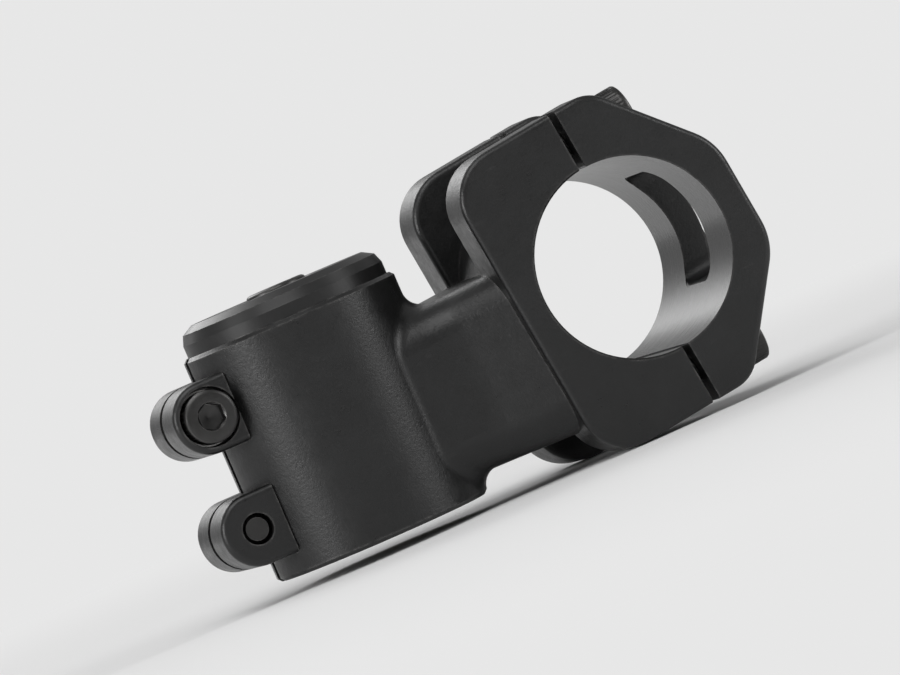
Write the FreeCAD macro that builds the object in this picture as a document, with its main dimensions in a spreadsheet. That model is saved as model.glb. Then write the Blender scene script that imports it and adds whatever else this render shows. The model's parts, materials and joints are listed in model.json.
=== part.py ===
import FreeCAD, Part

import math
import os

import Sketcher
from FreeCAD import Placement, Rotation, Vector

# A threadless bicycle handlebar stem with its preload hardware.
# Row frame, millimetres: +Z runs up the steerer axis, +X points forward to the bar, +Y to the rider's left.
# The origin is the centre of the steerer bore where it opens on the clamp's lower face.

SIZES = [
    # the two clamps and where they stand
    ("stemLength", 50.0),       # steerer axis to bar axis
    ("rise", 7.0),              # degrees, neck above a right angle to the steerer
    ("steererBore", 28.6),      # 1 1/8 inch steerer
    ("clampHeight", 38.0),
    ("clampWall", 3.7),
    ("landHeight", 8.0),        # the bore grips the steerer on a land at each end
    ("reliefDepth", 0.5),       # and stands clear of it between them
    ("barBore", 31.8),
    ("barWall", 4.4),
    ("barWidth", 45.2),
    ("splitGap", 1.2),          # between the body and the faceplate
    # the neck, measured from the bar axis: back along the neck and up across it
    ("neckWidth", 29.0),
    ("neckBack", 44.0),
    ("neckFront", 18.0),
    ("flareStart", 19.0),       # row X where the neck's flanks begin to spread
    ("flareEnd", 35.0),         # and where they are as wide as the bar clamp
    ("flareRound", 14.0),
    ("neckRound", 6.0),
    ("neckTopFront", 9.0),
    ("neckTopRear", 10.5),
    ("neckFloorFront", 20.0),
    ("neckFloorRear", 16.5),
    ("keelFront", 3.0),         # the keel under the bar clamp's shell ends this far behind the bar axis
    ("coreWidth", 18.0),        # the cored pocket behind the bar
    ("coreTop", 4.5),
    ("coreFloor", 12.5),
    ("coreBack", 29.0),
    # the two ribs that hold the faceplate bolts
    ("ribWidth", 11.2),
    ("ribHeight", 26.0),
    ("ribBack", 20.3),
    ("ribRound", 8.0),
    ("faceShoulder", 7.0),      # where the rib starts to slope down to the faceplate's nose
    ("faceNose", 21.0),
    ("noseHeight", 9.0),
    ("boltAcross", 34.0),
    ("boltReach", 20.4),        # bar axis to faceplate bolt
    ("seatFloor", 6.5),         # bar axis to the floor of a faceplate bolt's seat
    ("seatRadius", 4.8),
    ("threadDepth", 15.0),
    ("windowWidth", 17.0),
    ("windowHeight", 20.0),
    ("windowRound", 3.0),
    ("shoulderRound", 6.0),
    ("noseRound", 10.0),
    # the ears that close the steerer clamp
    ("earReach", 20.0),         # steerer axis to pinch bolt
    ("earRadius", 5.8),
    ("earWidth", 20.0),
    ("earSpacing", 19.0),
    ("earSeat", 4.0),
    ("slotWidth", 1.8),
    # M5 bolts and their washers
    ("boltThread", 5.0),
    ("threadPlay", 0.05),       # thread crests stand this clear of a threaded hole
    ("holePlay", 0.25),
    ("headRadius", 4.25),
    ("headHeight", 5.0),
    ("socketWidth", 4.0),
    ("socketDepth", 2.8),
    ("washerRadius", 4.6),
    ("washerThick", 0.8),
    ("faceBoltLength", 18.0),
    ("pinchBoltLength", 16.0),
    # the top cap and its M6 preload bolt
    ("capRadius", 17.0),
    ("capHeight", 4.6),
    ("capCrown", 2.4),          # how far the cap's rim is sloped away
    ("capWeb", 1.2),            # the bolt's seat above the clamp's top face
    ("capLip", 2.0),
    ("capLipPlay", 0.3),
    ("preloadThread", 6.0),
    ("preloadLength", 30.0),
    ("preloadHeadRadius", 5.0),
    ("preloadHeadHeight", 4.0),
    ("preloadSocket", 5.0),
    # the star nut inside the steerer
    ("nutTop", 22.5),
    ("nutHeight", 12.0),
    ("nutRadius", 4.6),
    ("nutCollar", 5.6),
    ("starRadius", 12.8),
    ("starThick", 0.9),
    ("starLift", 2.6),
    ("starSpacing", 5.5),
]

BOLT_EDGE = 0.5                 # bevel on a bolt's head and tip
EDGE_ROUND = 1.0                # on the forging's outer edges
EDGE_BEVEL = 0.6                # on the steerer clamp's two rims
MOUTH_BEVEL = 0.3               # where the bores open
ROOT_ROUND = 3.0                # where the neck leaves the barrel
STAR_LEAVES = 6

doc = FreeCAD.newDocument("handlebar_stem")
sheet = doc.addObject("Spreadsheet::Sheet", "sizes")
for row, (alias, size) in enumerate(SIZES, start=1):
    cell = "A%d" % row
    sheet.set(cell, str(size))
    sheet.setAlias(cell, alias)
doc.recompute()

# where the bar axis stands in the row frame
BAR_X = "sizes.stemLength * cos(sizes.rise)"
BAR_Z = "(sizes.clampHeight / 2 + sizes.stemLength * sin(sizes.rise))"

parts = []


def value(expression):
    """The number that an expression over the sheet's cells stands for."""
    return float(sheet.evalExpression(expression))


def new_body(label):
    """An empty body whose label names its file."""
    body = doc.addObject("PartDesign::Body", label)
    body.Label = label
    parts.append(body)
    return body


def origin_feature(body, role):
    """One of the body's own origin planes or axes."""
    return next(f for f in body.Origin.OriginFeatures if f.Role == role)


def new_sketch(body, name, role, base=("0", "0", "0"), turn=None, axis=Vector(0, 0, 1)):
    """A sketch on an origin plane, moved by base and turned about axis in its own directions."""
    sketch = body.newObject("Sketcher::SketchObject", name)
    sketch.AttachmentSupport = [(origin_feature(body, role), "")]
    sketch.MapMode = "FlatFace"
    if turn:
        sketch.AttachmentOffset = Placement(Vector(), Rotation(axis, value(turn)))
        sketch.setExpression("AttachmentOffset.Rotation.Angle", turn)
    for direction, distance in zip("xyz", base):
        if distance != "0":
            sketch.setExpression("AttachmentOffset.Base." + direction, distance)
    return sketch


def pin_point(sketch, geometry, end, x, y):
    """Holds one point of a sketch at x, y, two expressions over the sheet."""
    for kind, expression in (("DistanceX", x), ("DistanceY", y)):
        index = sketch.addConstraint(
            Sketcher.Constraint(kind, -1, 1, geometry, end, value(expression))
        )
        sketch.setExpression("Constraints[%d]" % index, expression)


def outline(sketch, points):
    """A closed outline of straight lines whose corners are pairs of expressions."""
    first = sketch.GeometryCount
    corners = [Vector(value(x), value(y), 0) for x, y in points]
    for start, end in zip(corners, corners[1:] + corners[:1]):
        sketch.addGeometry(Part.LineSegment(start, end))
    for step in range(len(points)):
        after = first + (step + 1) % len(points)
        sketch.addConstraint(Sketcher.Constraint("Coincident", first + step, 2, after, 1))
    for step, (x, y) in enumerate(points):
        pin_point(sketch, first + step, 1, x, y)
    return sketch


def rectangle(sketch, left, right, low, high):
    """A rectangle between four expressions."""
    return outline(sketch, [(left, low), (right, low), (right, high), (left, high)])


def circle(sketch, x, y, radius):
    """A circle whose centre and radius are expressions."""
    centre = Vector(value(x), value(y), 0)
    geometry = sketch.addGeometry(Part.Circle(centre, Vector(0, 0, 1), value(radius)))
    pin_point(sketch, geometry, 3, x, y)
    index = sketch.addConstraint(Sketcher.Constraint("Radius", geometry, value(radius)))
    sketch.setExpression("Constraints[%d]" % index, radius)
    return sketch


def hexagon(sketch, across):
    """A hexagon round the sketch's origin, across being its width over flats."""
    corner = "(" + across + ") / sqrt(3)"
    points = [
        ("%s * cos(%d)" % (corner, turn), "%s * sin(%d)" % (corner, turn))
        for turn in range(0, 360, 60)
    ]
    return outline(sketch, points)


def extrude(body, kind, sketch, length=None, both_ways=False, backwards=False):
    """Pads or pockets a sketch. A pocket with no length cuts through everything."""
    feature = body.newObject("PartDesign::" + kind, sketch.Name + kind)
    feature.Profile = sketch
    if both_ways:
        feature.SideType = "Symmetric"
    feature.Reversed = backwards
    if length is None:
        feature.Type = "ThroughAll"
    else:
        feature.setExpression("Length", length)
    doc.recompute()
    return feature


def revolve(body, sketch):
    """Turns a sketch on the XZ plane a full turn about the body's Z axis."""
    feature = body.newObject("PartDesign::Revolution", sketch.Name + "Turned")
    feature.Profile = sketch
    feature.ReferenceAxis = (origin_feature(body, "Z_Axis"), [""])
    feature.Angle = 360
    doc.recompute()
    return feature


def mirror_across_xz(body, feature):
    """Repeats a feature on the other side of the body's XZ plane."""
    mirrored = body.newObject("PartDesign::Mirrored", feature.Name + "Mirrored")
    mirrored.Originals = [feature]
    mirrored.MirrorPlane = (origin_feature(body, "XZ_Plane"), [""])
    body.Tip = mirrored
    doc.recompute()
    return mirrored


def soften(body, kind, name, size, wanted):
    """Fillets or chamfers each edge of the body for which wanted(edge) is true."""
    base = body.Tip
    names = ["Edge%d" % n for n, edge in enumerate(base.Shape.Edges, start=1) if wanted(edge)]
    if not names:
        raise RuntimeError("no edge found for " + name)
    feature = body.newObject("PartDesign::" + kind, name)
    feature.Base = (base, names)
    setattr(feature, "Radius" if kind == "Fillet" else "Size", size)
    doc.recompute()
    if not feature.Shape.isValid() or "Invalid" in feature.State:
        raise RuntimeError("%s failed on %s" % (name, names))
    return feature


def place(body, x="0", y="0", z="0", axis=Vector(0, 1, 0), turn="0"):
    """Stands a finished body in the row frame."""
    body.Placement = Placement(Vector(value(x), value(y), value(z)), Rotation(axis, value(turn)))
    for path, expression in (("Base.x", x), ("Base.y", y), ("Base.z", z), ("Rotation.Angle", turn)):
        if expression != "0":
            body.setExpression("Placement." + path, expression)


def on_neck(along, across):
    """Row X and Z of a point given along the neck and across it from the bar axis."""
    x = "%s + (%s) * cos(sizes.rise) - (%s) * sin(sizes.rise)" % (BAR_X, along, across)
    z = "%s + (%s) * sin(sizes.rise) + (%s) * cos(sizes.rise)" % (BAR_Z, along, across)
    return x, z


def runs_along_y(edge):
    """True for a straight edge parallel to Y."""
    if not isinstance(edge.Curve, Part.Line):
        return False
    return abs(edge.Curve.Direction.y) > 0.999


def middle(edge):
    """The point halfway along an edge."""
    return edge.valueAt((edge.FirstParameter + edge.LastParameter) / 2)


# The stem body


def neck_frame(body, name, out="0"):
    """A sketch in the side plane whose origin is the bar axis, its x along the neck, its y across."""
    return new_sketch(body, name, "XZ_Plane", (BAR_X, BAR_Z, out), "sizes.rise")


def bar_face(body, name, forward="0"):
    """A sketch square to the neck through the bar axis: its x is row Y, its y across the neck."""
    x, z = on_neck(forward, "0")
    return new_sketch(body, name, "YZ_Plane", ("0", z, x), "-sizes.rise", Vector(1, 0, 0))


def bar_frame_point(point):
    """A row point as (along the neck, row Y, across the neck), measured from the bar axis."""
    rise = math.radians(value("sizes.rise"))
    dx, dz = point.x - value(BAR_X), point.z - value(BAR_Z)
    along = dx * math.cos(rise) + dz * math.sin(rise)
    across = dz * math.cos(rise) - dx * math.sin(rise)
    return along, point.y, across


def add_neck(body):
    """The neck: a side profile with its flanks cut back to a waist that spreads towards the bar."""
    neck = outline(neck_frame(body, "neck"), [
        ("-sizes.neckFront", "sizes.neckTopFront"),
        ("-sizes.neckBack", "sizes.neckTopRear"),
        ("-sizes.neckBack", "-sizes.neckFloorRear"),
        ("-sizes.neckFront", "-sizes.neckFloorFront"),
    ])
    extrude(body, "Pad", neck, "sizes.barWidth + 2", both_ways=True)
    flanks = new_sketch(body, "flanks", "XY_Plane")
    for side in ("", "-"):
        outline(flanks, [
            ("-sizes.earReach", side + "sizes.neckWidth / 2"),
            ("sizes.flareStart", side + "sizes.neckWidth / 2"),
            ("sizes.flareEnd", side + "sizes.barWidth / 2"),
            ("sizes.flareEnd", side + "sizes.barWidth"),
            ("-sizes.earReach", side + "sizes.barWidth"),
        ])
    extrude(body, "Pocket", flanks, both_ways=True)

    def waist(edge):
        across_flank = abs(abs(middle(edge).y) - value("sizes.neckWidth / 2")) < 0.1
        return across_flank and abs(middle(edge).x - value("sizes.flareStart")) < 0.1

    def long_edge(edge):
        upright = abs(edge.tangentAt(edge.FirstParameter).z) > 0.9
        on_flank = abs(middle(edge).y) > value("sizes.neckWidth / 2") - 0.1
        return on_flank and not upright and not runs_along_y(edge)

    soften(body, "Fillet", "neckWaist", value("sizes.flareRound"), waist)
    soften(body, "Fillet", "neckEdges", value("sizes.neckRound"), long_edge)


def add_clamps(body):
    """The steerer clamp's barrel and, between the ribs, the shell round the bar with a keel under it."""
    barrel_radius = "sizes.steererBore / 2 + sizes.clampWall"
    barrel = circle(new_sketch(body, "barrel", "XY_Plane"), "0", "0", barrel_radius)
    extrude(body, "Pad", barrel, "sizes.clampHeight")
    shell = circle(neck_frame(body, "shell"), "0", "0", "sizes.barBore / 2 + sizes.barWall")
    extrude(body, "Pad", shell, "sizes.barWidth - 2 * sizes.ribWidth", both_ways=True)
    keel = rectangle(
        neck_frame(body, "keel"),
        "-sizes.neckFront - 1", "-sizes.keelFront", "-sizes.neckFloorFront", "-sizes.barBore / 4",
    )
    extrude(body, "Pad", keel, "sizes.barWidth - 2 * sizes.ribWidth", both_ways=True)


def add_ribs(body):
    """The two ribs that carry the faceplate bolts' threads."""
    rib = rectangle(
        neck_frame(body, "rib", "sizes.barWidth / 2 - sizes.ribWidth"),
        "-sizes.ribBack", "0", "-sizes.ribHeight", "sizes.ribHeight",
    )
    pad = extrude(body, "Pad", rib, "sizes.ribWidth")
    mirror_across_xz(body, pad)


def add_ears(body):
    """Two pairs of ears behind the steerer clamp, one above the other."""
    for name, side in (("lowerEar", "-"), ("upperEar", "+")):
        middle_z = "sizes.clampHeight / 2 %s sizes.earSpacing / 2" % side
        ear = rectangle(
            new_sketch(body, name, "XZ_Plane"),
            "-(sizes.earReach + sizes.earRadius)", "-sizes.steererBore / 2 - 1",
            middle_z + " - sizes.earRadius", middle_z + " + sizes.earRadius",
        )
        extrude(body, "Pad", ear, "sizes.earWidth", both_ways=True)


def split_and_bore(body):
    """The faceplate's split, the two bores, the pinch slot and the cored pocket."""
    ahead = rectangle(
        bar_face(body, "ahead", "-sizes.splitGap / 2"),
        "-sizes.barWidth", "sizes.barWidth", "-2 * sizes.ribHeight", "2 * sizes.ribHeight",
    )
    extrude(body, "Pocket", ahead, "sizes.stemLength", backwards=True)
    bar = circle(neck_frame(body, "barHole"), "0", "0", "sizes.barBore / 2")
    extrude(body, "Pocket", bar, both_ways=True)
    core = rectangle(
        bar_face(body, "core"),
        "-sizes.coreWidth / 2", "sizes.coreWidth / 2", "-sizes.coreFloor", "sizes.coreTop",
    )
    extrude(body, "Pocket", core, "sizes.coreBack")
    steerer = circle(new_sketch(body, "steererHole", "XY_Plane"), "0", "0", "sizes.steererBore / 2")
    extrude(body, "Pocket", steerer, "sizes.clampHeight", backwards=True)
    relief = circle(
        new_sketch(body, "relief", "XY_Plane", ("0", "0", "sizes.landHeight")),
        "0", "0", "sizes.steererBore / 2 + sizes.reliefDepth",
    )
    extrude(body, "Pocket", relief, "sizes.clampHeight - 2 * sizes.landHeight", backwards=True)
    slot = rectangle(
        new_sketch(body, "slot", "XY_Plane"),
        "-2 * sizes.earReach", "-sizes.steererBore / 4", "-sizes.slotWidth / 2", "sizes.slotWidth / 2",
    )
    extrude(body, "Pocket", slot, "sizes.clampHeight", backwards=True)


def drill_faceplate_threads(body):
    """Four blind threaded holes, at the threads' nominal diameter."""
    holes = bar_face(body, "faceThreads")
    for across in ("-sizes.boltAcross / 2", "sizes.boltAcross / 2"):
        for reach in ("-sizes.boltReach", "sizes.boltReach"):
            circle(holes, across, reach, "sizes.boltThread / 2")
    extrude(body, "Pocket", holes, "sizes.threadDepth")


def drill_pinch_holes(body):
    """The pinch bolts' holes: each head sits in one ear and its thread runs in the other.

    The upper bolt goes in from the rider's right and the lower one from the left.
    """
    for name, side in (("upper", 1), ("lower", -1)):
        x = "-sizes.earReach"
        z = "sizes.clampHeight / 2 %s sizes.earSpacing / 2" % ("+" if side > 0 else "-")
        face = "%d * sizes.earWidth / 2" % side
        thread = circle(new_sketch(body, name + "Thread", "XZ_Plane"), x, z, "sizes.boltThread / 2")
        extrude(body, "Pocket", thread, both_ways=True)
        hole = circle(
            new_sketch(body, name + "Hole", "XZ_Plane", ("0", "0", face)),
            x, z, "sizes.boltThread / 2 + sizes.holePlay",
        )
        extrude(body, "Pocket", hole, "sizes.earWidth / 2", backwards=side < 0)
        seat = circle(
            new_sketch(body, name + "Seat", "XZ_Plane", ("0", "0", face)), x, z, "sizes.seatRadius"
        )
        extrude(body, "Pocket", seat, "sizes.earSeat", backwards=side < 0)


def round_outside(body):
    """Rounds the forging's outer edges before anything is machined into it."""
    half_width = value("sizes.barWidth / 2")
    rib_inner = value("sizes.barWidth / 2 - sizes.ribWidth")
    ear_side = value("sizes.earWidth / 2")
    ear_end = -value("sizes.earReach + sizes.earRadius")
    top = value("sizes.clampHeight")
    barrel_radius = value("sizes.steererBore / 2 + sizes.clampWall")

    def rib_corner(edge):
        along, _, across = bar_frame_point(middle(edge))
        at_back = abs(along + value("sizes.ribBack")) < 0.1
        return runs_along_y(edge) and at_back and abs(across) > value("sizes.ribHeight") - 0.1

    def ear_corner(edge):
        return runs_along_y(edge) and middle(edge).x < ear_end + 0.1

    def clamp_side(edge):
        flat = all(abs(abs(v.Point.y) - half_width) < 0.01 for v in edge.Vertexes)
        return flat and bar_frame_point(middle(edge))[0] < -0.1

    def rib_inside(edge):
        flat = all(abs(abs(v.Point.y) - rib_inner) < 0.01 for v in edge.Vertexes)
        along, _, across = bar_frame_point(middle(edge))
        proud = abs(across) > value("sizes.barBore / 2 + sizes.barWall") + 0.2
        return flat and proud and not runs_along_y(edge)

    def ear_face(edge):
        flat = all(abs(abs(v.Point.y) - ear_side) < 0.01 for v in edge.Vertexes)
        return flat and middle(edge).x < -value("sizes.earReach") * 0.8 and not runs_along_y(edge)

    def barrel_rim(edge):
        return abs(abs(middle(edge).z - top / 2) - top / 2) < 0.01

    def neck_root(edge):
        span = edge.LastParameter - edge.FirstParameter
        points = [edge.valueAt(edge.FirstParameter + span * share) for share in (0.05, 0.5, 0.95)]
        on_barrel = all(abs(math.hypot(p.x, p.y) - barrel_radius) < 0.02 for p in points)
        return on_barrel and points[1].x > 0 and 1 < points[1].z < top - 1

    soften(body, "Fillet", "ribCorners", value("sizes.ribRound"), rib_corner)
    soften(body, "Fillet", "earCorners", value("sizes.earRadius") - 0.2, ear_corner)
    soften(body, "Fillet", "clampSides", EDGE_ROUND, clamp_side)
    soften(body, "Fillet", "ribInsides", EDGE_ROUND, rib_inside)
    soften(body, "Fillet", "earFaces", EDGE_ROUND, ear_face)
    soften(body, "Chamfer", "barrelRims", EDGE_BEVEL, barrel_rim)
    soften(body, "Fillet", "neckRoot", ROOT_ROUND, neck_root)


def bevel_mouths(body):
    """Breaks the edges where the two bores and the bolt seats open."""
    half_width = value("sizes.barWidth / 2")
    top = value("sizes.clampHeight")
    bore = value("sizes.steererBore / 2")

    def bar_mouth(edge):
        along, y, across = bar_frame_point(middle(edge))
        at_side = abs(abs(y) - half_width) < 0.01
        return at_side and abs(math.hypot(along, across) - value("sizes.barBore / 2")) < 0.05

    def steerer_mouth(edge):
        point = middle(edge)
        at_end = abs(abs(point.z - top / 2) - top / 2) < 0.01
        return at_end and abs(math.hypot(point.x, point.y) - bore) < 0.05

    soften(body, "Chamfer", "barMouths", MOUTH_BEVEL, bar_mouth)
    soften(body, "Chamfer", "steererMouths", MOUTH_BEVEL, steerer_mouth)


def make_stem_body():
    body = new_body("stem_body")
    add_neck(body)
    add_clamps(body)
    add_ribs(body)
    add_ears(body)
    round_outside(body)
    split_and_bore(body)
    drill_faceplate_threads(body)
    drill_pinch_holes(body)
    bevel_mouths(body)


# The faceplate
# Its own X runs along the neck and its own Z across it, with its origin on the bar axis.


def round_faceplate(body):
    """Rounds the plate's nose and shoulders, then the edges of its ribs."""
    half_width = value("sizes.barWidth / 2")
    rib_inner = value("sizes.barWidth / 2 - sizes.ribWidth")

    def shoulder(edge):
        point = middle(edge)
        on_rib = abs(point.y) > rib_inner and runs_along_y(edge)
        return on_rib and abs(abs(point.z) - value("sizes.ribHeight")) < 0.1 and point.x > 0.1

    def nose(edge):
        point = middle(edge)
        on_rib = abs(point.y) > rib_inner and runs_along_y(edge)
        return on_rib and abs(abs(point.z) - value("sizes.noseHeight")) < 0.1 and point.x > 0.1

    def rib_edge(edge):
        sides = [abs(vertex.Point.y) for vertex in edge.Vertexes]
        beside = any(all(abs(side - y) < 0.01 for side in sides) for y in (half_width, rib_inner))
        point = middle(edge)
        proud = math.hypot(point.x, point.z) > value("sizes.barBore / 2 + sizes.barWall") + 0.1
        return beside and proud and point.x > 0.1 and not runs_along_y(edge)

    soften(body, "Fillet", "plateShoulders", value("sizes.shoulderRound"), shoulder)
    soften(body, "Fillet", "plateNose", value("sizes.noseRound"), nose)
    soften(body, "Fillet", "plateEdges", EDGE_ROUND, rib_edge)


def make_faceplate():
    body = new_body("faceplate")
    shell_radius = "sizes.barBore / 2 + sizes.barWall"
    shell = circle(new_sketch(body, "plateShell", "XZ_Plane"), "0", "0", shell_radius)
    extrude(body, "Pad", shell, "sizes.barWidth - 2 * sizes.ribWidth", both_ways=True)
    rib = outline(
        new_sketch(body, "plateRib", "XZ_Plane", ("0", "0", "sizes.barWidth / 2 - sizes.ribWidth")), [
            ("0", "sizes.ribHeight"),
            ("0", "-sizes.ribHeight"),
            ("sizes.faceShoulder", "-sizes.ribHeight"),
            ("sizes.faceNose", "-sizes.noseHeight"),
            ("sizes.faceNose", "sizes.noseHeight"),
            ("sizes.faceShoulder", "sizes.ribHeight"),
        ])
    mirror_across_xz(body, extrude(body, "Pad", rib, "sizes.ribWidth"))
    round_faceplate(body)
    behind = rectangle(
        new_sketch(body, "behind", "YZ_Plane", ("0", "0", "sizes.splitGap / 2")),
        "-sizes.barWidth", "sizes.barWidth", "-2 * sizes.ribHeight", "2 * sizes.ribHeight",
    )
    extrude(body, "Pocket", behind, "sizes.stemLength")
    bar = circle(new_sketch(body, "plateHole", "XZ_Plane"), "0", "0", "sizes.barBore / 2")
    extrude(body, "Pocket", bar, both_ways=True)
    half_wide, half_high = "sizes.windowWidth / 2", "sizes.windowHeight / 2"
    window_sketch = new_sketch(body, "window", "YZ_Plane")
    window = rectangle(window_sketch, "-" + half_wide, half_wide, "-" + half_high, half_high)
    extrude(body, "Pocket", window, "sizes.stemLength", backwards=True)

    def window_corner(edge):
        point = middle(edge)
        at_side = abs(abs(point.y) - value("sizes.windowWidth / 2")) < 0.01
        return at_side and abs(abs(point.z) - value("sizes.windowHeight / 2")) < 0.01

    soften(body, "Fillet", "windowCorners", value("sizes.windowRound"), window_corner)
    holes = new_sketch(body, "plateHoles", "YZ_Plane")
    seats = new_sketch(body, "plateSeats", "YZ_Plane", ("0", "0", "sizes.seatFloor"))
    for across in ("-sizes.boltAcross / 2", "sizes.boltAcross / 2"):
        for reach in ("-sizes.boltReach", "sizes.boltReach"):
            circle(holes, across, reach, "sizes.boltThread / 2 + sizes.holePlay")
            circle(seats, across, reach, "sizes.seatRadius")
    extrude(body, "Pocket", holes, "sizes.stemLength", backwards=True)
    extrude(body, "Pocket", seats, "sizes.stemLength", backwards=True)
    place(body, BAR_X, "0", BAR_Z, turn="-sizes.rise")


# Bolts and washers, each along its own Z with the head's bearing face at Z 0


def make_bolt(label, thread, length, head_radius, head_height, socket, socket_depth):
    """A socket head bolt. Its thread is a plain cylinder at the thread's crests."""
    body = new_body(label)
    crest = "(%s / 2 - sizes.threadPlay)" % thread
    edge = str(BOLT_EDGE)
    half = outline(new_sketch(body, label + "Half", "XZ_Plane"), [
        ("0", head_height),
        ("%s - %s" % (head_radius, edge), head_height),
        (head_radius, "%s - %s" % (head_height, edge)),
        (head_radius, "0"),
        (crest, "0"),
        (crest, "-%s + %s" % (length, edge)),
        (crest + " - " + edge, "-" + length),
        ("0", "-" + length),
    ])
    revolve(body, half)
    hole = hexagon(new_sketch(body, label + "Socket", "XY_Plane", ("0", "0", head_height)), socket)
    extrude(body, "Pocket", hole, socket_depth)
    return body


def make_m5_bolt(label, length):
    return make_bolt(
        label, "sizes.boltThread", length,
        "sizes.headRadius", "sizes.headHeight", "sizes.socketWidth", "sizes.socketDepth",
    )


def make_washer(label):
    """A plain M5 washer whose upper face carries the bolt's head at Z 0."""
    body = new_body(label)
    half = rectangle(
        new_sketch(body, label + "Half", "XZ_Plane"),
        "sizes.boltThread / 2 + 0.15", "sizes.washerRadius", "-sizes.washerThick", "0",
    )
    revolve(body, half)
    return body


def make_faceplate_bolts():
    """Four bolts and washers at the faceplate's corners, heads forward."""
    seat = "(sizes.seatFloor + sizes.washerThick)"
    for level, reach in (("upper", "sizes.boltReach"), ("lower", "-sizes.boltReach")):
        x, z = on_neck(seat, reach)
        for side, across in (("left", "sizes.boltAcross / 2"), ("right", "-sizes.boltAcross / 2")):
            corner = "%s_%s" % (level, side)
            bolt = make_m5_bolt("faceplate_bolt_" + corner, "sizes.faceBoltLength")
            washer = make_washer("faceplate_washer_" + corner)
            for body in (bolt, washer):
                place(body, x, across, z, turn="90 - sizes.rise")


def make_pinch_bolts():
    """Two bolts and washers across the ears, the upper one from the right and the lower from the left."""
    bearing = "(sizes.earWidth / 2 - sizes.earSeat + sizes.washerThick)"
    for level, sign, turn in (("upper", "-", "90"), ("lower", "", "-90")):
        z = "sizes.clampHeight / 2 %s sizes.earSpacing / 2" % ("+" if level == "upper" else "-")
        bolt = make_m5_bolt("pinch_bolt_" + level, "sizes.pinchBoltLength")
        washer = make_washer("pinch_washer_" + level)
        for body in (bolt, washer):
            place(body, "-sizes.earReach", sign + bearing, z, Vector(1, 0, 0), turn)


# The top cap, its bolt and the star nut, all turned about the steerer axis


def make_top_cap():
    body = new_body("top_cap")
    bolt_hole = "sizes.preloadThread / 2 + 0.3"
    seat = "sizes.preloadHeadRadius + 0.5"
    lip = "sizes.steererBore / 2 - sizes.capLipPlay"
    half = outline(new_sketch(body, "capHalf", "XZ_Plane"), [
        (bolt_hole, "sizes.capWeb"),
        (seat, "sizes.capWeb"),
        (seat, "sizes.capHeight - 0.4"),
        (seat + " + 0.4", "sizes.capHeight"),
        ("sizes.capRadius - sizes.capCrown", "sizes.capHeight"),
        ("sizes.capRadius - sizes.capCrown / 4", "sizes.capHeight - sizes.capCrown / 2.4"),
        ("sizes.capRadius", "sizes.capHeight - sizes.capCrown - 0.2"),
        ("sizes.capRadius", "0"),
        (lip, "0"),
        (lip, "-sizes.capLip"),
        (lip + " - 1.6", "-sizes.capLip"),
        (lip + " - 2.4", "sizes.capHeight - 2.2"),
        (seat + " + 1.8", "sizes.capHeight - 2.2"),
        (seat + " + 1.4", "-sizes.capLip + 0.6"),
        (bolt_hole, "-sizes.capLip + 0.6"),
    ])
    revolve(body, half)
    place(body, z="sizes.clampHeight")


def make_star_washer(label, drop):
    """A dished spring washer cut into leaves whose rims point up and bite the steerer."""
    body = new_body(label)
    inner = "sizes.nutRadius"
    flat = "sizes.nutCollar + 1.2"
    half = outline(new_sketch(body, label + "Half", "XZ_Plane"), [
        (inner, "0"),
        (flat, "0"),
        ("sizes.starRadius", "sizes.starLift"),
        ("sizes.starRadius - 0.3", "sizes.starLift + sizes.starThick"),
        (flat + " - 0.2", "sizes.starThick"),
        (inner, "sizes.starThick"),
    ])
    revolve(body, half)
    notch = outline(new_sketch(body, label + "Notch", "XY_Plane"), [
        (flat + " + 0.6", "-0.9"),
        ("sizes.starRadius + 2", "-2.2"),
        ("sizes.starRadius + 2", "2.2"),
        (flat + " + 0.6", "0.9"),
    ])
    cut = extrude(body, "Pocket", notch, "sizes.nutHeight", both_ways=True)
    leaves = body.newObject("PartDesign::PolarPattern", label + "Leaves")
    leaves.Originals = [cut]
    leaves.Axis = (origin_feature(body, "Z_Axis"), [""])
    leaves.Angle = 360
    leaves.Occurrences = STAR_LEAVES
    body.Tip = leaves
    doc.recompute()
    place(body, z="sizes.nutTop - " + drop)


def make_star_nut():
    """The threaded core and its two star washers."""
    core = new_body("star_nut_core")
    half = outline(new_sketch(core, "coreHalf", "XZ_Plane"), [
        ("sizes.preloadThread / 2", "0"),
        ("sizes.nutCollar", "0"),
        ("sizes.nutCollar", "1.4"),
        ("sizes.nutRadius", "1.4"),
        ("sizes.nutRadius", "sizes.nutHeight"),
        ("sizes.preloadThread / 2", "sizes.nutHeight"),
    ])
    revolve(core, half)
    place(core, z="sizes.nutTop - sizes.nutHeight")
    make_star_washer("star_washer_upper", "sizes.starThick - 0.2")
    make_star_washer("star_washer_lower", "sizes.starThick - 0.2 - sizes.starSpacing")


def make_preload():
    make_top_cap()
    bolt = make_bolt(
        "top_cap_bolt", "sizes.preloadThread", "sizes.preloadLength",
        "sizes.preloadHeadRadius", "sizes.preloadHeadHeight", "sizes.preloadSocket", "sizes.socketDepth",
    )
    place(bolt, z="sizes.clampHeight + sizes.capWeb")
    make_star_nut()


def check_and_write():
    """Stops if any object failed, then writes each sub-part as its own STEP file."""
    doc.recompute()
    for item in doc.Objects:
        if "Invalid" in item.State or "Error" in item.State:
            raise RuntimeError("%s is in state %s" % (item.Label, item.State))
    for body in parts:
        if body.Shape.isNull() or not body.Shape.isValid() or not body.Shape.Solids:
            raise RuntimeError("%s has no valid solid" % body.Label)
    os.makedirs("parts", exist_ok=True)
    for body in parts:
        body.Shape.exportStep(os.path.join("parts", body.Label + ".step"))
        print("%-32s %10.1f mm3, %d solid" % (body.Label, body.Shape.Volume, len(body.Shape.Solids)))


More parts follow.
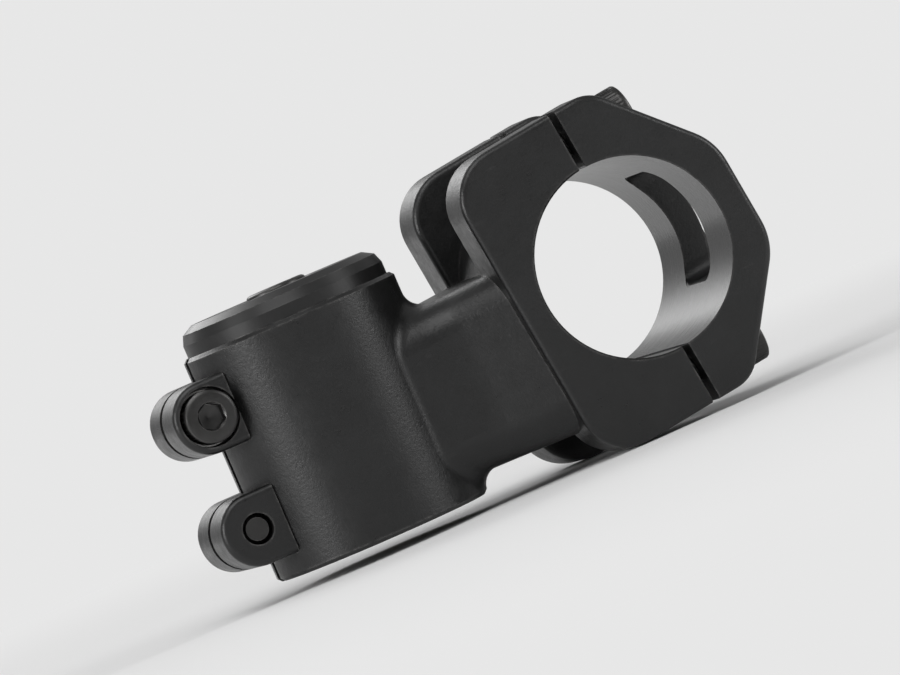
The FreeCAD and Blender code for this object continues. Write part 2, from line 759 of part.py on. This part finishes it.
make_stem_body()
make_faceplate()
make_faceplate_bolts()
make_pinch_bolts()
make_preload()
check_and_write()
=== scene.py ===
import json
import math

import bmesh
import bpy
from mathutils import Matrix, Vector


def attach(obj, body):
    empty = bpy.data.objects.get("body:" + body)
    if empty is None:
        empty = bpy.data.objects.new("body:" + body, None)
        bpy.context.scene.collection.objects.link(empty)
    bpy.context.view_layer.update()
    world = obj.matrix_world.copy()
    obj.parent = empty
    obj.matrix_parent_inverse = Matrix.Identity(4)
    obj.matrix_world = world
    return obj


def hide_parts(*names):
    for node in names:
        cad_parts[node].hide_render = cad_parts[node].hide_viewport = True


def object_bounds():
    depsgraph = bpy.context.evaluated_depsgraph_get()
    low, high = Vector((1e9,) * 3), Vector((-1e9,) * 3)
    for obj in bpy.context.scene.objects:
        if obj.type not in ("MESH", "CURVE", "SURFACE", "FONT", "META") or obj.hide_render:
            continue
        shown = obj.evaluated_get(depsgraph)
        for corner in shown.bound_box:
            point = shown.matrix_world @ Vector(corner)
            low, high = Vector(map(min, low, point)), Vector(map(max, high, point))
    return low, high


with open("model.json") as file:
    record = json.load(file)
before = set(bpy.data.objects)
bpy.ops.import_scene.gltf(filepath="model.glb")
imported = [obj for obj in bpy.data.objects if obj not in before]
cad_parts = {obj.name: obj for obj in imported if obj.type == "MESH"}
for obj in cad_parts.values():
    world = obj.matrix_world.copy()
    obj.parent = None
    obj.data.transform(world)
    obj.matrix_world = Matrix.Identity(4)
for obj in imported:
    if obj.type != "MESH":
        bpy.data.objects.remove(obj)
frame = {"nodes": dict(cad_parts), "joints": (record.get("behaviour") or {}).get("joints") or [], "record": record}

cadLow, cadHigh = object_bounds()
middle = (cadLow + cadHigh) / 2
nodes = frame["nodes"]
bodies = frame["record"]["behaviour"]["bodies"]
mountPlaces = {mount["name"]: Vector(mount["pos_m"]) for mount in frame["record"]["mounts"]}
mm = 0.001

print("frame loaded:", len(nodes), "nodes")


view = {
    "azimuth": -13.3, "elevation": 1.2, "roll": -23.4, "distance": 1.5,
    "lens": 380.0, "sensor": 36.0, "near": 0.05, "far": 20.0,
}


def placeCamera():
    azimuth = math.radians(view["azimuth"])
    elevation = math.radians(view["elevation"])
    back = Vector((
        math.sin(azimuth) * math.cos(elevation),
        -math.cos(azimuth) * math.cos(elevation),
        math.sin(elevation),
    ))
    data = bpy.data.cameras.new("camera")
    data.lens = view["lens"]
    data.sensor_width = view["sensor"]
    data.clip_start = view["near"]
    data.clip_end = view["far"]
    camera = bpy.data.objects.new("camera", data)
    bpy.context.scene.collection.objects.link(camera)
    camera.location = middle + back * view["distance"]
    level = (-back).to_track_quat("-Z", "Y").to_matrix()
    roll = Matrix.Rotation(math.radians(view["roll"]), 3, "Z")
    camera.rotation_euler = (level @ roll).to_euler()
    bpy.context.scene.camera = camera


placeCamera()
print("camera placed")


class Link:
    # one output of a node; sums, products and powers of it add Math nodes
    def __init__(self, finish, socket):
        self.finish = finish
        self.socket = socket

    def maths(self, operation, *terms):
        inputs = dict(enumerate(terms))
        return self.finish.add("ShaderNodeMath", {"operation": operation}, inputs)

    def __add__(self, other):
        return self.maths("ADD", self, other)

    def __radd__(self, other):
        return self.maths("ADD", other, self)

    def __sub__(self, other):
        return self.maths("SUBTRACT", self, other)

    def __rsub__(self, other):
        return self.maths("SUBTRACT", other, self)

    def __mul__(self, other):
        return self.maths("MULTIPLY", self, other)

    def __rmul__(self, other):
        return self.maths("MULTIPLY", other, self)

    def __pow__(self, other):
        return self.maths("POWER", self, other)

    def clamped(self):
        return self.finish.add("ShaderNodeClamp", {}, {"Value": self})


edgeFinder = {"samples": 4, "lean": (0.008, 0.09)}


class Finish:
    # the nodes of a material, or of the world, under construction
    def __init__(self, owner):
        self.owner = owner
        owner.use_nodes = True
        self.tree = owner.node_tree
        self.tree.nodes.clear()

    def add(self, kind, settings=None, inputs=None, output=0):
        node = self.tree.nodes.new(kind)
        for key, value in (settings or {}).items():
            setattr(node, key, value)
        for key, value in (inputs or {}).items():
            if isinstance(value, Link):
                self.tree.links.new(value.socket, node.inputs[key])
            else:
                node.inputs[key].default_value = value
        return Link(self, node.outputs[output]) if node.outputs else None

    def here(self):
        return self.add("ShaderNodeTexCoord", {}, {}, "Object")

    def noise(self, size, detail, roughness, spread=(1, 1, 1)):
        # size is the grain of the noise in millimetres, spread packs it closer along an axis
        steps = tuple(1000 / size * share for share in spread)
        place = self.add("ShaderNodeMapping", {}, {"Vector": self.here(), "Scale": steps})
        inputs = {"Vector": place, "Scale": 1.0, "Detail": detail, "Roughness": roughness}
        return self.add("ShaderNodeTexNoise", {}, inputs)

    def patterns(self, spec):
        # every noise of a finish by name, turned into a mask where limits are given
        made = {name: self.noise(*shape) for name, shape in spec["noises"].items()}
        for name, limits in spec["limits"].items():
            made[name] = self.between(made[name], *limits)
        return made

    def rings(self, along, detail):
        # noise that changes along one direction only
        inputs = {"W": along, "Scale": 1.0, "Detail": detail}
        return self.add("ShaderNodeTexNoise", {"noise_dimensions": "1D"}, inputs)

    def between(self, value, low, high):
        # 0 below low, 1 above high, smooth between
        inputs = {"Value": value, "From Min": low, "From Max": high, "To Min": 0.0, "To Max": 1.0}
        return self.add("ShaderNodeMapRange", {"interpolation_type": "SMOOTHSTEP"}, inputs)

    def mix(self, share, first, second):
        inputs = {0: share, 6: first, 7: second}
        return self.add("ShaderNodeMix", {"data_type": "RGBA"}, inputs, 2)

    def edges(self, width):
        # 1 on sharp edges, 0 on flats, from how far the rounded normal leans from the true one
        normal = self.add("ShaderNodeNewGeometry", {}, {}, "Normal")
        rounded = self.add("ShaderNodeBevel", {"samples": edgeFinder["samples"]}, {"Radius": width * mm})
        inputs = {0: normal, 1: rounded}
        upright = self.add("ShaderNodeVectorMath", {"operation": "DOT_PRODUCT"}, inputs, "Value")
        return self.between(1 - upright, *edgeFinder["lean"])

    def bump(self, height, strength, distance, below=None):
        inputs = {"Height": height, "Strength": strength, "Distance": distance * mm}
        if below:
            inputs["Normal"] = below
        return self.add("ShaderNodeBump", {}, inputs)

    def surface(self, inputs):
        shader = self.add("ShaderNodeBsdfPrincipled", {}, inputs)
        self.add("ShaderNodeOutputMaterial", {}, {"Surface": shader})
        return self.owner


def grey(level, warmth=0.0):
    return (level * (1 + warmth), level, level * (1 - warmth), 1.0)


# a noise is its size in millimetres, its detail, its roughness and at times its spread;
# the shares say how much of each pattern goes into the colour or the roughness
# the worn edge tone of the anodised pieces is part wear and part painted highlight along the edges
anodised = {
    "dark": 0.0080, "light": 0.0155, "coolness": -0.015, "wornEdgeAndHighlight": 0.20, "wornEdgeAndHighlightWarmth": 0.02,
    "markTone": 2.2, "boredTone": 1.5, "metal": 0.30, "edgeMetal": 0.5, "ior": 1.6,
    "roughness": 0.35, "boredRoughness": 0.29, "edgeWidth": 0.55,
    "colourShares": {"speck": 0.30, "scuff": 0.25, "bored": 0.6, "edge": 0.6},
    "roughShares": {
        "cloud": 0.14, "mottle": 0.26, "grain": 0.20, "scuff": 0.07, "rings": 0.16, "edge": 0.08,
    },
    "noises": {
        "cloud": (9.0, 4.0, 0.6), "mottle": (2.2, 4.0, 0.6), "grain": (0.60, 3.0, 0.65),
        "fine": (0.22, 2.0, 0.5), "speck": (0.55, 2.0, 0.7), "rub": (1.7, 5.0, 0.7),
        "scuff": (0.45, 3.0, 0.6, (0.10, 1.0, 0.35)), "scuffPatch": (7.0, 2.0, 0.5),
    },
    "limits": {
        "speck": (0.66, 0.78), "scuff": (0.60, 0.70), "scuffPatch": (0.50, 0.62), "rub": (0.36, 0.62),
    },
    "fineBump": (0.6, 0.025), "grainBump": (0.8, 0.050), "ringBump": (0.5, 0.006),
    "ringPitch": 0.17, "ringDetail": 2.0,
}
bores = {
    "bar": {
        "mount": "bar_clamp", "across": "XZ", "along": "Y", "radius": 15.9, "fade": (0.15, 0.25),
    },
    "steerer": {
        "mount": "steerer_clamp", "across": "XY", "along": "Z", "radius": 14.3, "fade": (0.45, 0.75),
    },
}


def insideBore(finish, spec):
    # 1 on the wall of a bore and 0 outside it, and the rings that the boring tool left along it
    inputs = {0: finish.here(), 1: mountPlaces[spec["mount"]]}
    offset = finish.add("ShaderNodeVectorMath", {"operation": "SUBTRACT"}, inputs)
    axes = {axis: finish.add("ShaderNodeSeparateXYZ", {}, {"Vector": offset}, axis) for axis in "XYZ"}
    first, second = (axes[axis] for axis in spec["across"])
    radius = (first * first + second * second) ** 0.5 * 1000
    wall = 1 - finish.between(radius, *(spec["radius"] + past for past in spec["fade"]))
    return wall, finish.rings(axes[spec["along"]] * (1000 / anodised["ringPitch"]), anodised["ringDetail"])


def blastedBlack(name, tone=1.0):
    # bead-blasted, black-anodised alloy: grain, faint clouds, edges lighter partly from thin anodising and partly
    # as a painted highlight, bores left as bored
    finish = Finish(bpy.data.materials.new(name))
    made = finish.patterns(anodised)
    cloud, mottle, grain = made["cloud"], made["mottle"], made["grain"]
    scuff = made["scuff"] * made["scuffPatch"]
    edge = finish.edges(anodised["edgeWidth"]) * made["rub"]
    barWall, barRings = insideBore(finish, bores["bar"])
    steererWall, steererRings = insideBore(finish, bores["steerer"])
    wall = (barWall + steererWall).clamped()
    rings = barRings * barWall + steererRings * steererWall

    share = anodised["colourShares"]
    light = anodised["light"] * tone
    base = finish.mix(cloud, grey(anodised["dark"] * tone), grey(light, anodised["coolness"]))
    marks = made["speck"] * share["speck"] + scuff * share["scuff"]
    base = finish.mix(marks, base, grey(light * anodised["markTone"]))
    base = finish.mix(wall * share["bored"], base, grey(anodised["light"] * anodised["boredTone"]))
    # lighter edges: part wear where the anodising is thin, part painted highlight
    base = finish.mix(edge * share["edge"], base, grey(anodised["wornEdgeAndHighlight"], anodised["wornEdgeAndHighlightWarmth"]))

    share = anodised["roughShares"]
    blasted = anodised["roughness"] + (cloud - 0.5) * share["cloud"] + (mottle - 0.5) * share["mottle"]
    blasted = blasted + (grain - 0.5) * share["grain"] + scuff * share["scuff"]
    bored = anodised["boredRoughness"] + (rings - 0.5) * share["rings"]
    roughness = blasted * (1 - wall) + bored * wall - edge * share["edge"]

    normal = finish.bump(made["fine"] * (1 - wall), *anodised["fineBump"])
    normal = finish.bump(grain * (1 - wall), *anodised["grainBump"], normal)
    normal = finish.bump(rings, *anodised["ringBump"], normal)
    return finish.surface({
        "Base Color": base, "Roughness": roughness.clamped(), "Normal": normal,
        "Metallic": anodised["metal"] + edge * anodised["edgeMetal"], "IOR": anodised["ior"],
    })


turned = {
    "roughness": 0.35, "edgeWidth": 0.35, "ringsPerMm": 9, "ringDetail": 3.0, "edgeShare": 0.6,
    "roughShares": {"cloud": 0.10, "rings": 0.18, "edge": 0.08},
    "noises": {"cloud": (7.0, 4.0, 0.6), "grain": (0.60, 3.0, 0.65), "rub": (1.7, 5.0, 0.7)},
    "limits": {"rub": (0.42, 0.62)},
    "grainBump": (0.4, 0.006), "ringBump": (0.35, 0.006),
}


def turnedBlack(name):
    # black-anodised top cap, turned on a lathe: faint rings about the steerer axis
    finish = Finish(bpy.data.materials.new(name))
    made = finish.patterns(turned)
    inputs = {"Vector": finish.here()}
    across, along = (finish.add("ShaderNodeSeparateXYZ", {}, inputs, axis) for axis in "XY")
    radius = (across * across + along * along) ** 0.5
    rings = finish.rings(radius * (1000 * turned["ringsPerMm"]), turned["ringDetail"])
    edge = finish.edges(turned["edgeWidth"]) * made["rub"]
    base = finish.mix(made["cloud"], grey(anodised["dark"]), grey(anodised["light"]))
    # lighter edges on the cap: part wear, part painted highlight
    base = finish.mix(edge * turned["edgeShare"], base, grey(anodised["wornEdgeAndHighlight"], anodised["wornEdgeAndHighlightWarmth"]))
    share = turned["roughShares"]
    roughness = turned["roughness"] + (made["cloud"] - 0.5) * share["cloud"]
    roughness = roughness + (rings - 0.5) * share["rings"] - edge * share["edge"]
    normal = finish.bump(made["grain"], *turned["grainBump"])
    normal = finish.bump(rings, *turned["ringBump"], normal)
    return finish.surface({
        "Base Color": base, "Roughness": roughness.clamped(), "Normal": normal,
        "Metallic": anodised["metal"] + edge * anodised["edgeMetal"], "IOR": anodised["ior"],
    })


hardware = {
    "noises": {"cloud": (2.4, 5.0, 0.62), "grain": (0.12, 3.0, 0.6), "rub": (0.9, 4.0, 0.7)},
    "limits": {"rub": (0.36, 0.62)},
    "edgeWidth": 0.18, "edgeShare": 0.6, "darkWarmth": 0.02, "lightWarmth": 0.01, "edgeWarmth": 0.02,
    "roughShares": {"cloud": 0.18, "grain": 0.12, "edge": 0.10}, "grainBump": (0.5, 0.006),
}
metals = {
    "bolt oxide": {"dark": 0.045, "light": 0.085, "roughness": 0.36, "edge": 0.32},
    "washer plate": {"dark": 0.30, "light": 0.42, "roughness": 0.30, "edge": 0.62},
    "spring steel": {"dark": 0.10, "light": 0.19, "roughness": 0.38, "edge": 0.45},
    "nut alloy": {"dark": 0.42, "light": 0.56, "roughness": 0.34, "edge": 0.75},
}


def bareMetal(name):
    # metal of the small hardware: faint stains, fine grain and brighter edges
    spec = metals[name]
    finish = Finish(bpy.data.materials.new(name))
    made = finish.patterns(hardware)
    edge = finish.edges(hardware["edgeWidth"]) * made["rub"]
    dark = grey(spec["dark"], hardware["darkWarmth"])
    light = grey(spec["light"], hardware["lightWarmth"])
    base = finish.mix(made["cloud"], dark, light)
    base = finish.mix(edge * hardware["edgeShare"], base, grey(spec["edge"], hardware["edgeWarmth"]))
    share = hardware["roughShares"]
    roughness = spec["roughness"] + (made["cloud"] - 0.5) * share["cloud"]
    roughness = roughness + (made["grain"] - 0.5) * share["grain"] - edge * share["edge"]
    return finish.surface({
        "Base Color": base, "Roughness": roughness.clamped(), "Metallic": 1.0,
        "Normal": finish.bump(made["grain"], *hardware["grainBump"]),
    })


forgingBlack = blastedBlack("forging black")
plateBlack = blastedBlack("plate black", 1.08)
capBlack = turnedBlack("cap black")
boltOxide = bareMetal("bolt oxide")
washerPlate = bareMetal("washer plate")
springSteel = bareMetal("spring steel")
nutAlloy = bareMetal("nut alloy")
print("finishes made")


def deselectAll():
    if bpy.context.object and bpy.context.object.mode != "OBJECT":
        bpy.ops.object.mode_set(mode="OBJECT")
    bpy.ops.object.select_all(action="DESELECT")


def pick(piece):
    deselectAll()
    piece.select_set(True)
    bpy.context.view_layer.objects.active = piece


def cleanUp(piece, merge, smooth):
    pick(piece)
    bpy.ops.object.mode_set(mode="EDIT")
    bpy.ops.mesh.select_all(action="SELECT")
    bpy.ops.mesh.remove_doubles(threshold=merge * mm)
    bpy.ops.mesh.normals_make_consistent(inside=False)
    bpy.ops.object.mode_set(mode="OBJECT")
    bpy.ops.object.shade_smooth_by_angle(angle=math.radians(smooth))


def traceProfile(name, points):
    # a chain of edges through points (radius, height) in millimetres, grown from one corner of a plane
    deselectAll()
    bpy.ops.mesh.primitive_plane_add(size=mm, location=(0, 0, 0))
    piece = bpy.context.object
    piece.name = name
    bpy.ops.object.mode_set(mode="EDIT")
    bpy.ops.mesh.select_all(action="SELECT")
    bpy.ops.mesh.merge(type="CENTER")
    corners = [Vector((radius, 0, height)) * mm for radius, height in points]
    bpy.ops.transform.translate(value=corners[0])
    for last, here in zip(corners, corners[1:]):
        bpy.ops.mesh.extrude_region_move(TRANSFORM_OT_translate={"value": here - last})
    return piece


def spin(piece, steps):
    # turns the traced profile once about Z, clockwise seen from above
    bpy.ops.mesh.select_all(action="SELECT")
    bpy.ops.mesh.spin(steps=steps, angle=math.tau, center=(0, 0, 0), axis=(0, 0, 1))
    bpy.ops.object.mode_set(mode="OBJECT")


turning = {"steps": 96, "merge": 0.005, "smooth": 30}


def lathe(name, points, steps):
    piece = traceProfile(name, points)
    spin(piece, steps)
    cleanUp(piece, turning["merge"], turning["smooth"])
    return piece


m5 = {
    "pitch": 0.8, "crest": 2.44, "root": 1.96, "headRadius": 4.25, "headHeight": 5.0,
    "socket": 4.0, "socketDepth": 2.7, "knurlDepth": 0.12, "flutes": 40, "knurlLow": 0.9, "knurlHigh": 4.0,
}
m6 = {
    "pitch": 1.0, "crest": 2.94, "root": 2.36, "headRadius": 5.0, "headHeight": 4.0,
    "socket": 5.0, "socketDepth": 2.6, "knurlDepth": 0.0, "flutes": 40, "knurlLow": 0.8, "knurlHigh": 3.0,
}
headForm = {
    "crown": [(0.75, 0), (0.42, 0.06), (0.14, 0.24), (0, 0.52)],    # in from the rim, down from the top
    "foot": 0.22, "band": 0.25, "stepsPerFlute": 4, "grooveEdges": (0.4, 0.95), "grooveInset": 0.1,
    "mouthIn": 0.35, "mouthOut": 0.25, "mouthDepth": 0.6, "mouthDown": 0.05,
    "drillShare": 0.47, "drillTip": 0.0001, "drillDepth": 0.9, "drillDown": 0.44, "coneSides": 48,
}


def knurl(head, spec):
    # presses straight grooves into the band round the head
    pick(head)
    bpy.ops.object.mode_set(mode="EDIT")
    bpy.ops.mesh.select_all(action="DESELECT")
    mesh = bmesh.from_edit_mesh(head.data)
    step = math.tau / spec["flutes"]
    ends, starts = headForm["grooveEdges"]
    inset = headForm["grooveInset"]
    for vert in mesh.verts:
        turn = math.atan2(vert.co.y, vert.co.x) % step
        inGroove = turn < step * ends or turn > step * starts
        inBand = (spec["knurlLow"] + inset) * mm < vert.co.z < (spec["knurlHigh"] - inset) * mm
        vert.select = inGroove and inBand
    mesh.select_flush_mode()
    bmesh.update_edit_mesh(head.data)
    shape = (spec["headRadius"] - spec["knurlDepth"]) / spec["headRadius"]
    bpy.ops.transform.resize(value=(shape, shape, 1), center_override=(0, 0, 0))
    bpy.ops.object.mode_set(mode="OBJECT")


def cutAway(piece):
    # takes the new primitive out of the piece
    tool = bpy.context.object
    pick(piece)
    modifier = piece.modifiers.new("cut", "BOOLEAN")
    modifier.operation = "DIFFERENCE"
    modifier.object = tool
    modifier.solver = "EXACT"
    bpy.ops.object.modifier_apply(modifier=modifier.name)
    bpy.data.objects.remove(tool)


def coneCut(piece, low, high, depth, height):
    deselectAll()
    bpy.ops.mesh.primitive_cone_add(
        vertices=headForm["coneSides"], radius1=low * mm, radius2=high * mm, depth=depth * mm,
        location=(0, 0, height * mm),
    )
    cutAway(piece)


def boltHead(spec):
    # a turned head with its underside at height 0, knurled, with a hexagon socket
    radius, height, across = spec["headRadius"], spec["headHeight"], spec["socket"]
    low, high, band = spec["knurlLow"], spec["knurlHigh"], headForm["band"]
    corner = across / math.sqrt(3)
    mouth = corner + headForm["mouthOut"]
    foot = headForm["foot"]
    crown = [(radius - inward, height - down) for inward, down in headForm["crown"]]
    side = [(radius, level) for level in (high, high - band, low + band, low, foot)]
    profile = [(0, height), (mouth, height)] + crown + side + [(radius - foot, 0), (0, 0)]
    head = lathe("head", profile, spec["flutes"] * headForm["stepsPerFlute"])
    if spec["knurlDepth"]:
        knurl(head, spec)
    deselectAll()
    depth = spec["socketDepth"]
    bpy.ops.mesh.primitive_cylinder_add(
        vertices=6, radius=corner * mm, depth=2 * depth * mm, location=(0, 0, height * mm)
    )
    cutAway(head)
    mouthDown, drillDown = headForm["mouthDown"], headForm["drillDown"]
    coneCut(head, corner - headForm["mouthIn"], mouth, headForm["mouthDepth"], height - mouthDown)
    drill = across * headForm["drillShare"]
    coneCut(head, headForm["drillTip"], drill, headForm["drillDepth"], height - depth - drillDown)
    return head


threadForm = {
    "steps": 48, "spareTurns": 2, "plain": 1.2, "inHead": 0.5, "neckUnder": 0.2, "tipUnder": 0.12,
    "runOut": 0.8, "bevel": 0.9, "axis": 0.001, "merge": 0.003, "smooth": 40,
    # share of a turn, and how far below the crest; None stands for the root
    "turn": [(0.0, None), (0.22, None), (0.54, 0.05), (0.58, 0), (0.66, 0), (0.70, 0.05)],
}


def threadedShank(spec, length):
    # a straight-walled profile is turned, sheared into a right-hand helix and trimmed flat at both ends
    pitch, crest, root = spec["pitch"], spec["crest"], spec["root"]
    neck, tip = crest - threadForm["neckUnder"], root - threadForm["tipUnder"]
    plain, inHead = threadForm["plain"], threadForm["inHead"]
    spare, steps = threadForm["spareTurns"], threadForm["steps"]
    turns = math.ceil(length / pitch) + 2 * spare
    rows = [
        (root if down is None else crest - down, (share + turn - turns + spare) * pitch)
        for turn in range(turns) for share, down in threadForm["turn"]
    ]
    shank = traceProfile("shank", [(0, rows[0][1])] + rows + [(0, rows[-1][1])])
    spin(shank, steps)
    ring = len(shank.data.vertices) // (steps + 1)
    for place, vert in enumerate(shank.data.vertices):
        turned = place // ring / steps
        height = vert.co.z / mm - pitch * turned
        radius = math.hypot(vert.co.x, vert.co.y) / mm
        if radius < threadForm["axis"]:
            height = -length if height < 0 else inHead
        elif height < -length:
            height, radius = -length, tip
        elif height > inHead:
            height, radius = inHead, neck
        else:
            runOut = neck + max(0.0, -plain - height) * threadForm["runOut"]
            bevel = tip + (height + length) * threadForm["bevel"]
            radius = min(radius, runOut, bevel) if height < -plain + pitch else neck
        flat = Vector((vert.co.x, vert.co.y, 0)).normalized() * radius
        vert.co = Vector((flat.x, flat.y, height)) * mm
    cleanUp(shank, threadForm["merge"], threadForm["smooth"])
    return shank


bolts = {
    "faceplate_bolt": {"name": "faceBoltMaster", "spec": m5, "length": 18.0},
    "pinch_bolt": {"name": "pinchBoltMaster", "spec": m5, "length": 16.0},
    "top_cap_bolt": {"name": "capBoltMaster", "spec": m6, "length": 30.0},
}
boltSmooth = 32


def makeBolt(name, spec, length):
    bolt = boltHead(spec)
    shank = threadedShank(spec, length)
    pick(bolt)
    shank.select_set(True)
    bpy.ops.object.join()
    bolt.name = name
    bpy.ops.object.shade_smooth_by_angle(angle=math.radians(boltSmooth))
    print(name, len(bolt.data.polygons), "faces")
    return bolt


washer = {"inner": 2.65, "outer": 4.6, "thick": 0.8, "soft": 0.12}


def makeWasher():
    # a flat ring with its top face at height 0 and its edges rounded off
    inner, outer, thick, soft = washer["inner"], washer["outer"], washer["thick"], washer["soft"]
    return lathe("washerMaster", [
        (inner, -soft), (inner, -thick + soft), (inner + soft, -thick), (outer - soft, -thick),
        (outer, -thick + soft), (outer, -soft), (outer - soft, 0), (inner + soft, 0), (inner, -soft),
    ], turning["steps"])


def standAt(master, name, joint, finish):
    # a copy of the master with its own mesh, its Z along the joint's axis
    piece = bpy.data.objects.new(name, master.data.copy())
    bpy.context.scene.collection.objects.link(piece)
    turn = Vector(joint["axis"]).to_track_quat("Z", "Y").to_matrix().to_4x4()
    piece.data.transform(Matrix.Translation(Vector(joint["pos_m"])) @ turn)
    piece.data.materials.clear()
    piece.data.materials.append(finish)
    return piece


def fitFasteners():
    # every hinge of the record carries one bolt, which may have a washer under its head
    masters = {kind: makeBolt(**settings) for kind, settings in bolts.items()}
    masters["washer"] = makeWasher()
    owner = {node: body for body, members in bodies.items() for node in members}
    for joint in frame["joints"]:
        if joint["type"] != "hinge":
            continue
        node = bodies[joint["child"]][0]
        kind = next(kind for kind in bolts if node.startswith(kind))
        bolt = standAt(masters[kind], node + "_threaded", joint, boltOxide)
        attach(bolt, joint["child"])
        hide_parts(node)
        under = node.replace("_bolt", "_washer")
        if under in nodes:
            ring = standAt(masters["washer"], under + "_plated", joint, washerPlate)
            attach(ring, owner[under])
            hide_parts(under)
    for master in masters.values():
        bpy.data.objects.remove(master)


fitFasteners()
print("bolts and washers fitted")


finishes = {
    "stem_body": forgingBlack, "faceplate": plateBlack, "top_cap": capBlack,
    "star_nut_core": nutAlloy, "star_washer_upper": springSteel, "star_washer_lower": springSteel,
}
for name, finish in finishes.items():
    for slot in nodes[name].material_slots:
        slot.material = finish
print("finishes on the CAD pieces")


studio = {"paper": 0.80, "floorSize": 8.0, "floorGap": 0.0002, "fade": (0.12, 0.42), "world": 0.34}


def makePaper():
    # pale paper that fades into the backdrop's own tone away from the object
    finish = Finish(bpy.data.materials.new("paper"))
    away = finish.add("ShaderNodeVectorMath", {"operation": "LENGTH"}, {0: finish.here()}, "Value")
    share = finish.between(away, *studio["fade"])
    ray = finish.add("ShaderNodeLightPath", {}, {}, "Is Camera Ray")
    matte = finish.add("ShaderNodeBsdfDiffuse", {}, {"Color": grey(studio["paper"])})
    glow = finish.add("ShaderNodeEmission", {}, {"Color": grey(studio["paper"]), "Strength": 1.0})
    both = finish.add("ShaderNodeMixShader", {}, {0: share * ray, 1: matte, 2: glow})
    finish.add("ShaderNodeOutputMaterial", {}, {"Surface": both})
    return finish.owner


def setFloor():
    deselectAll()
    bpy.ops.mesh.primitive_plane_add(size=studio["floorSize"], location=(0, 0, 0))
    floor = bpy.context.object
    floor.name = "floor"
    floor.data.transform(Matrix.Translation((0, 0, cadLow.z - studio["floorGap"])))
    floor.data.materials.append(makePaper())


def setWorld():
    # the backdrop is the paper's tone to the camera and a softer light on the object
    sky = Finish(bpy.data.worlds.new("studio"))
    seen = sky.add("ShaderNodeBackground", {}, {"Color": grey(studio["paper"]), "Strength": 1.0})
    light = sky.add("ShaderNodeBackground", {}, {"Color": grey(1.0), "Strength": studio["world"]})
    ray = sky.add("ShaderNodeLightPath", {}, {}, "Is Camera Ray")
    both = sky.add("ShaderNodeMixShader", {}, {0: ray, 1: light, 2: seen})
    sky.add("ShaderNodeOutputWorld", {}, {"Surface": both})
    bpy.context.scene.world = sky.owner


lamps = {
    "key": {"from": (-0.25, -0.75, 1.20), "size": 1.0, "watts": 7.5},
    "right": {"from": (1.25, -0.75, 0.42), "size": 0.6, "watts": 6.0},
    "left": {"from": (-1.30, -0.50, 0.40), "size": 0.6, "watts": 8.0},
    "back": {"from": (-0.30, 1.20, 0.80), "size": 0.9, "watts": 7.0},
}


def hangLamp(name, spec):
    # a square lamp that looks at the middle of the object
    data = bpy.data.lights.new(name, "AREA")
    data.shape = "SQUARE"
    data.size = spec["size"]
    data.energy = spec["watts"]
    lamp = bpy.data.objects.new(name, data)
    bpy.context.scene.collection.objects.link(lamp)
    lamp.location = middle + Vector(spec["from"])
    lamp.rotation_euler = Vector(spec["from"]).to_track_quat("Z", "Y").to_euler()


setFloor()
setWorld()
for name, spec in lamps.items():
    hangLamp(name, spec)
bpy.context.scene.view_settings.view_transform = "Standard"
print("studio set")
